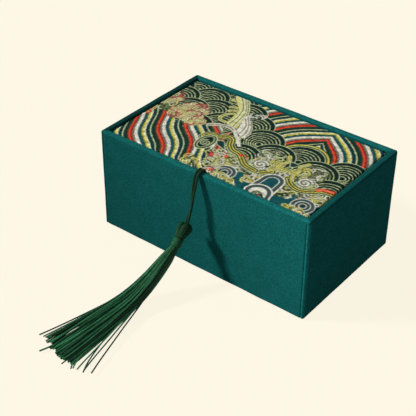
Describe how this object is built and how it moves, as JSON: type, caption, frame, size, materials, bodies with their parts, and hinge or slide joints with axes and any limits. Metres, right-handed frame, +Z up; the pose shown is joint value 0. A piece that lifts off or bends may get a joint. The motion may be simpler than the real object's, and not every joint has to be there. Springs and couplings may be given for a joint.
{
  "type": "brocade keepsake box",
  "caption": "Rectangular keepsake box of cloth-wrapped board with an inset padded brocade lid on a cloth hinge, lined inside, and a tassel that lifts the lid.",
  "frame": {"origin": "middle of the underside, on the surface that the box stands on", "axes": "+X along the length, to the right seen from the front; -Y towards the front, where the tassel hangs; +Z up"},
  "size_m": [0.122, 0.1608, 0.0568],
  "materials": {
    "greyboard": "matte",
    "wrap_cloth": "matte",
    "bottom_paper": "matte",
    "lining_cloth": "matte",
    "foam": "matte",
    "brocade": "satin",
    "tassel_silk": "satin",
    "binding_thread": "satin"
  },
  "bodies": {
    "box": {"base_board": "greyboard", "front_wall_board": "greyboard", "back_wall_board": "greyboard", "left_wall_board": "greyboard", "right_wall_board": "greyboard", "front_ledge_board": "greyboard", "back_ledge_board": "greyboard", "outer_wrap": "wrap_cloth", "hinge_wall_leaf": "wrap_cloth", "bottom_cover": "bottom_paper", "front_lining": "lining_cloth", "back_lining": "lining_cloth", "left_lining": "lining_cloth", "right_lining": "lining_cloth", "floor_lining": "lining_cloth", "floor_pad": "foam"},
    "lid": {"hinge_lid_leaf": "wrap_cloth", "lid_board": "greyboard", "lid_padding": "foam", "lid_brocade": "brocade", "lid_lining": "lining_cloth", "cord_tails": "tassel_silk"},
    "tassel": {"tassel_cord_left": "tassel_silk", "tassel_cord_right": "tassel_silk", "tassel_head": "tassel_silk", "neck_binding": "binding_thread", "tassel_skirt": "tassel_silk"}
  },
  "joints": [
    {"name": "lid_hinge", "type": "hinge", "parent": "box", "child": "lid", "pos_m": [0, 0.0335, 0.0541], "axis": [-1, 0, 0], "range_deg": [0, 95]},
    {"name": "tassel_swing", "type": "hinge", "parent": "lid", "child": "tassel", "pos_m": [0, -0.03335, 0.05135], "axis": [-1, 0, 0], "range_deg": [-95, 0]}
  ],
  "couplings": [
    {"joint": "tassel_swing", "follows": "lid_hinge", "ratio": -1}
  ]
}
